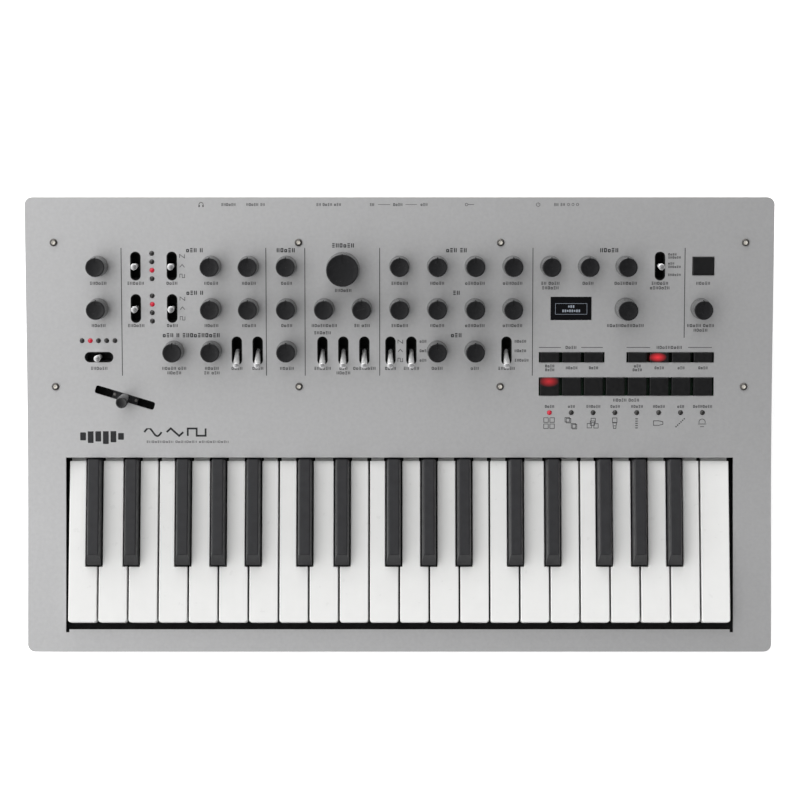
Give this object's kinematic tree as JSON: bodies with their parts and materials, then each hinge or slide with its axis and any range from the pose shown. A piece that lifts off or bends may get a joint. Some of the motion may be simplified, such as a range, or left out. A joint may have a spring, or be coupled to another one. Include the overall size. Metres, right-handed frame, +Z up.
{
  "type": "synthesizer",
  "caption": "Desktop analogue synthesizer: bent aluminium control panel with knobs, bat switches, buttons and display above a playable slim keyboard, with sockets in a wooden back.",
  "frame": {"origin": "on the surface the feet stand on, under the middle of the panel", "axes": "+X to the player's right, +Y away from the player, +Z up"},
  "size_m": [0.5, 0.3, 0.0844],
  "materials": {
    "panel": "bead-blasted anodised",
    "case": "fine textured black",
    "wood": "oiled reddish hardwood",
    "steel": "zinc plated",
    "board": "green solder mask",
    "connector": "moulded black with plated bushings",
    "display": "black window",
    "led": "smoked lens",
    "screw": "plated",
    "rubber": "matte",
    "button": "smoked black",
    "slider": "satin black",
    "toggle": "bright plated",
    "key_white": "semi-gloss",
    "key_black": "satin",
    "knob": "soft-touch"
  },
  "bodies": {
    "chassis": {"top_panel": "panel", "bottom_case": "case", "rear_panel": "wood", "key_frame": "steel", "circuit_boards": "board", "rear_jacks": "connector", "display_module": "display", "panel_leds": "led", "screws": "screw", "rubber_feet": "rubber"},
    "knob_master": {"knob_master": "knob"},
    "knob_vco1_pitch": {"knob_vco1_pitch": "knob"},
    "knob_vco1_shape": {"knob_vco1_shape": "knob"},
    "knob_mixer_vco1": {"knob_mixer_vco1": "knob"},
    "knob_cutoff": {"knob_cutoff": "knob"},
    "knob_amp_attack": {"knob_amp_attack": "knob"},
    "knob_amp_decay": {"knob_amp_decay": "knob"},
    "knob_amp_sustain": {"knob_amp_sustain": "knob"},
    "knob_amp_release": {"knob_amp_release": "knob"},
    "knob_delay_hipass": {"knob_delay_hipass": "knob"},
    "knob_delay_time": {"knob_delay_time": "knob"},
    "knob_delay_feedback": {"knob_delay_feedback": "knob"},
    "knob_tempo": {"knob_tempo": "knob"},
    "knob_vco2_pitch": {"knob_vco2_pitch": "knob"},
    "knob_vco2_shape": {"knob_vco2_shape": "knob"},
    "knob_mixer_vco2": {"knob_mixer_vco2": "knob"},
    "knob_resonance": {"knob_resonance": "knob"},
    "knob_filter_eg": {"knob_filter_eg": "knob"},
    "knob_eg_attack": {"knob_eg_attack": "knob"},
    "knob_eg_decay": {"knob_eg_decay": "knob"},
    "knob_eg_sustain": {"knob_eg_sustain": "knob"},
    "knob_eg_release": {"knob_eg_release": "knob"},
    "knob_program": {"knob_program": "knob"},
    "knob_voice_depth": {"knob_voice_depth": "knob"},
    "knob_cross_mod": {"knob_cross_mod": "knob"},
    "knob_pitch_eg": {"knob_pitch_eg": "knob"},
    "knob_noise": {"knob_noise": "knob"},
    "knob_lfo_rate": {"knob_lfo_rate": "knob"},
    "knob_lfo_int": {"knob_lfo_int": "knob"},
    "toggles_row_1": {"toggles_row_1": "toggle"},
    "toggles_row_2": {"toggles_row_2": "toggle"},
    "toggles_row_3": {"toggles_row_3": "toggle"},
    "toggle_octave": {"toggle_octave": "toggle"},
    "shift_button": {"shift_button": "button"},
    "function_buttons": {"function_buttons": "button"},
    "step_buttons": {"step_buttons": "button"},
    "power_button": {"power_button": "button"},
    "pitch_lever": {"pitch_lever": "slider"},
    "key_c": {"key_c": "key_white"},
    "key_c_sharp": {"key_c_sharp": "key_black"},
    "key_d": {"key_d": "key_white"},
    "key_d_sharp": {"key_d_sharp": "key_black"},
    "key_e": {"key_e": "key_white"},
    "key_f": {"key_f": "key_white"},
    "key_f_sharp": {"key_f_sharp": "key_black"},
    "key_g": {"key_g": "key_white"},
    "key_g_sharp": {"key_g_sharp": "key_black"},
    "key_a": {"key_a": "key_white"},
    "key_a_sharp": {"key_a_sharp": "key_black"},
    "key_b": {"key_b": "key_white"}
  },
  "joints": [
    {"name": "knob_master_turn", "type": "hinge", "parent": "chassis", "child": "knob_master", "pos_m": [-0.2016, 0.1053, 0.0611], "axis": [0, -0.23, 0.9732], "range_deg": [-150, 150]},
    {"name": "knob_vco1_pitch_turn", "type": "hinge", "parent": "chassis", "child": "knob_vco1_pitch", "pos_m": [-0.126, 0.1053, 0.0611], "axis": [0, -0.23, 0.9732], "range_deg": [-150, 150]},
    {"name": "knob_vco1_shape_turn", "type": "hinge", "parent": "chassis", "child": "knob_vco1_shape", "pos_m": [-0.1008, 0.1053, 0.0611], "axis": [0, -0.23, 0.9732], "range_deg": [-150, 150]},
    {"name": "knob_mixer_vco1_turn", "type": "hinge", "parent": "chassis", "child": "knob_mixer_vco1", "pos_m": [-0.0756, 0.1053, 0.0611], "axis": [0, -0.23, 0.9732], "range_deg": [-150, 150]},
    {"name": "knob_cutoff_turn", "type": "hinge", "parent": "chassis", "child": "knob_cutoff", "pos_m": [-0.0378, 0.1035, 0.06068], "axis": [0, -0.23, 0.9732], "range_deg": [-150, 150]},
    {"name": "knob_amp_attack_turn", "type": "hinge", "parent": "chassis", "child": "knob_amp_attack", "pos_m": [0, 0.1053, 0.0611], "axis": [0, -0.23, 0.9732], "range_deg": [-150, 150]},
    {"name": "knob_amp_decay_turn", "type": "hinge", "parent": "chassis", "child": "knob_amp_decay", "pos_m": [0.0252, 0.1053, 0.0611], "axis": [0, -0.23, 0.9732], "range_deg": [-150, 150]},
    {"name": "knob_amp_sustain_turn", "type": "hinge", "parent": "chassis", "child": "knob_amp_sustain", "pos_m": [0.0504, 0.1053, 0.0611], "axis": [0, -0.23, 0.9732], "range_deg": [-150, 150]},
    {"name": "knob_amp_release_turn", "type": "hinge", "parent": "chassis", "child": "knob_amp_release", "pos_m": [0.0756, 0.1053, 0.0611], "axis": [0, -0.23, 0.9732], "range_deg": [-150, 150]},
    {"name": "knob_delay_hipass_turn", "type": "hinge", "parent": "chassis", "child": "knob_delay_hipass", "pos_m": [0.1008, 0.1053, 0.0611], "axis": [0, -0.23, 0.9732], "range_deg": [-150, 150]},
    {"name": "knob_delay_time_turn", "type": "hinge", "parent": "chassis", "child": "knob_delay_time", "pos_m": [0.126, 0.1053, 0.0611], "axis": [0, -0.23, 0.9732], "range_deg": [-150, 150]},
    {"name": "knob_delay_feedback_turn", "type": "hinge", "parent": "chassis", "child": "knob_delay_feedback", "pos_m": [0.1512, 0.1053, 0.0611], "axis": [0, -0.23, 0.9732], "range_deg": [-150, 150]},
    {"name": "knob_tempo_turn", "type": "hinge", "parent": "chassis", "child": "knob_tempo", "pos_m": [-0.2016, 0.07765, 0.05457], "axis": [0, -0.23, 0.9732], "range_deg": [-150, 150]},
    {"name": "knob_vco2_pitch_turn", "type": "hinge", "parent": "chassis", "child": "knob_vco2_pitch", "pos_m": [-0.126, 0.07765, 0.05457], "axis": [0, -0.23, 0.9732], "range_deg": [-150, 150]},
    {"name": "knob_vco2_shape_turn", "type": "hinge", "parent": "chassis", "child": "knob_vco2_shape", "pos_m": [-0.1008, 0.07765, 0.05457], "axis": [0, -0.23, 0.9732], "range_deg": [-150, 150]},
    {"name": "knob_mixer_vco2_turn", "type": "hinge", "parent": "chassis", "child": "knob_mixer_vco2", "pos_m": [-0.0756, 0.07765, 0.05457], "axis": [0, -0.23, 0.9732], "range_deg": [-150, 150]},
    {"name": "knob_resonance_turn", "type": "hinge", "parent": "chassis", "child": "knob_resonance", "pos_m": [-0.0504, 0.07765, 0.05457], "axis": [0, -0.23, 0.9732], "range_deg": [-150, 150]},
    {"name": "knob_filter_eg_turn", "type": "hinge", "parent": "chassis", "child": "knob_filter_eg", "pos_m": [-0.0252, 0.07765, 0.05457], "axis": [0, -0.23, 0.9732], "range_deg": [-150, 150]},
    {"name": "knob_eg_attack_turn", "type": "hinge", "parent": "chassis", "child": "knob_eg_attack", "pos_m": [0, 0.07765, 0.05457], "axis": [0, -0.23, 0.9732], "range_deg": [-150, 150]},
    {"name": "knob_eg_decay_turn", "type": "hinge", "parent": "chassis", "child": "knob_eg_decay", "pos_m": [0.0252, 0.07765, 0.05457], "axis": [0, -0.23, 0.9732], "range_deg": [-150, 150]},
    {"name": "knob_eg_sustain_turn", "type": "hinge", "parent": "chassis", "child": "knob_eg_sustain", "pos_m": [0.0504, 0.07765, 0.05457], "axis": [0, -0.23, 0.9732], "range_deg": [-150, 150]},
    {"name": "knob_eg_release_turn", "type": "hinge", "parent": "chassis", "child": "knob_eg_release", "pos_m": [0.0756, 0.07765, 0.05457], "axis": [0, -0.23, 0.9732], "range_deg": [-150, 150]},
    {"name": "knob_program_turn", "type": "hinge", "parent": "chassis", "child": "knob_program", "pos_m": [0.1512, 0.07765, 0.05457], "axis": [0, -0.23, 0.9732], "continuous": true},
    {"name": "knob_voice_depth_turn", "type": "hinge", "parent": "chassis", "child": "knob_voice_depth", "pos_m": [0.2016, 0.07765, 0.05457], "axis": [0, -0.23, 0.9732], "range_deg": [-150, 150]},
    {"name": "knob_cross_mod_turn", "type": "hinge", "parent": "chassis", "child": "knob_cross_mod", "pos_m": [-0.1512, 0.05, 0.04803], "axis": [0, -0.23, 0.9732], "range_deg": [-150, 150]},
    {"name": "knob_pitch_eg_turn", "type": "hinge", "parent": "chassis", "child": "knob_pitch_eg", "pos_m": [-0.126, 0.05, 0.04803], "axis": [0, -0.23, 0.9732], "range_deg": [-150, 150]},
    {"name": "knob_noise_turn", "type": "hinge", "parent": "chassis", "child": "knob_noise", "pos_m": [-0.0756, 0.05, 0.04803], "axis": [0, -0.23, 0.9732], "range_deg": [-150, 150]},
    {"name": "knob_lfo_rate_turn", "type": "hinge", "parent": "chassis", "child": "knob_lfo_rate", "pos_m": [0.0252, 0.05, 0.04803], "axis": [0, -0.23, 0.9732], "range_deg": [-150, 150]},
    {"name": "knob_lfo_int_turn", "type": "hinge", "parent": "chassis", "child": "knob_lfo_int", "pos_m": [0.0504, 0.05, 0.04803], "axis": [0, -0.23, 0.9732], "range_deg": [-150, 150]},
    {"name": "toggles_row_1_throw", "type": "hinge", "parent": "chassis", "child": "toggles_row_1", "pos_m": [-0.1765, 0.10737, 0.05234], "axis": [-1, 0, 0], "range_deg": [-27, 27]},
    {"name": "toggles_row_2_throw", "type": "hinge", "parent": "chassis", "child": "toggles_row_2", "pos_m": [-0.1765, 0.07972, 0.04581], "axis": [-1, 0, 0], "range_deg": [-27, 27]},
    {"name": "toggles_row_3_throw", "type": "hinge", "parent": "chassis", "child": "toggles_row_3", "pos_m": [-0.1091, 0.05207, 0.03927], "axis": [-1, 0, 0], "range_deg": [0, 54]},
    {"name": "toggle_octave_throw", "type": "hinge", "parent": "chassis", "child": "toggle_octave", "pos_m": [-0.2016, 0.04787, 0.03828], "axis": [0, 0.9732, 0.23], "range_deg": [-27, 27]},
    {"name": "shift_button_press", "type": "slide", "parent": "chassis", "child": "shift_button", "axis": [0, 0.23, -0.9732], "range_m": [0, 0.0008], "stiffness_N_per_m": 600, "springref_m": -0.001},
    {"name": "function_buttons_press", "type": "slide", "parent": "chassis", "child": "function_buttons", "axis": [0, 0.23, -0.9732], "range_m": [0, 0.0008], "stiffness_N_per_m": 1500, "springref_m": -0.001},
    {"name": "step_buttons_press", "type": "slide", "parent": "chassis", "child": "step_buttons", "axis": [0, 0.211, -0.9775], "range_m": [0, 0.0008], "stiffness_N_per_m": 1500, "springref_m": -0.001},
    {"name": "power_button_press", "type": "slide", "parent": "chassis", "child": "power_button", "axis": [0, -1, 0], "range_m": [0, 0.0015], "stiffness_N_per_m": 600, "springref_m": -0.001},
    {"name": "pitch_lever_slide", "type": "slide", "parent": "chassis", "child": "pitch_lever", "axis": [0.9573, -0.283, -0.0588], "range_m": [-0.017, 0.017], "stiffness_N_per_m": 100},
    {"name": "key_c_press", "type": "hinge", "parent": "chassis", "child": "key_c", "pos_m": [0, 0.01, 0.0222], "axis": [1, 0, 0], "range_deg": [0, 3.2], "stiffness_Nm_per_rad": 1.2, "springref_deg": -14.32},
    {"name": "key_c_sharp_press", "type": "hinge", "parent": "chassis", "child": "key_c_sharp", "pos_m": [0, 0.01, 0.0222], "axis": [1, 0, 0], "range_deg": [0, 3.2], "stiffness_Nm_per_rad": 1.2, "springref_deg": -14.32},
    {"name": "key_d_press", "type": "hinge", "parent": "chassis", "child": "key_d", "pos_m": [0, 0.01, 0.0222], "axis": [1, 0, 0], "range_deg": [0, 3.2], "stiffness_Nm_per_rad": 1.2, "springref_deg": -14.32},
    {"name": "key_d_sharp_press", "type": "hinge", "parent": "chassis", "child": "key_d_sharp", "pos_m": [0, 0.01, 0.0222], "axis": [1, 0, 0], "range_deg": [0, 3.2], "stiffness_Nm_per_rad": 1.2, "springref_deg": -14.32},
    {"name": "key_e_press", "type": "hinge", "parent": "chassis", "child": "key_e", "pos_m": [0, 0.01, 0.0222], "axis": [1, 0, 0], "range_deg": [0, 3.2], "stiffness_Nm_per_rad": 1.2, "springref_deg": -14.32},
    {"name": "key_f_press", "type": "hinge", "parent": "chassis", "child": "key_f", "pos_m": [0, 0.01, 0.0222], "axis": [1, 0, 0], "range_deg": [0, 3.2], "stiffness_Nm_per_rad": 1.2, "springref_deg": -14.32},
    {"name": "key_f_sharp_press", "type": "hinge", "parent": "chassis", "child": "key_f_sharp", "pos_m": [0, 0.01, 0.0222], "axis": [1, 0, 0], "range_deg": [0, 3.2], "stiffness_Nm_per_rad": 1.2, "springref_deg": -14.32},
    {"name": "key_g_press", "type": "hinge", "parent": "chassis", "child": "key_g", "pos_m": [0, 0.01, 0.0222], "axis": [1, 0, 0], "range_deg": [0, 3.2], "stiffness_Nm_per_rad": 1.2, "springref_deg": -14.32},
    {"name": "key_g_sharp_press", "type": "hinge", "parent": "chassis", "child": "key_g_sharp", "pos_m": [0, 0.01, 0.0222], "axis": [1, 0, 0], "range_deg": [0, 3.2], "stiffness_Nm_per_rad": 1.2, "springref_deg": -14.32},
    {"name": "key_a_press", "type": "hinge", "parent": "chassis", "child": "key_a", "pos_m": [0, 0.01, 0.0222], "axis": [1, 0, 0], "range_deg": [0, 3.2], "stiffness_Nm_per_rad": 1.2, "springref_deg": -14.32},
    {"name": "key_a_sharp_press", "type": "hinge", "parent": "chassis", "child": "key_a_sharp", "pos_m": [0, 0.01, 0.0222], "axis": [1, 0, 0], "range_deg": [0, 3.2], "stiffness_Nm_per_rad": 1.2, "springref_deg": -14.32},
    {"name": "key_b_press", "type": "hinge", "parent": "chassis", "child": "key_b", "pos_m": [0, 0.01, 0.0222], "axis": [1, 0, 0], "range_deg": [0, 3.2], "stiffness_Nm_per_rad": 1.2, "springref_deg": -14.32}
  ]
}
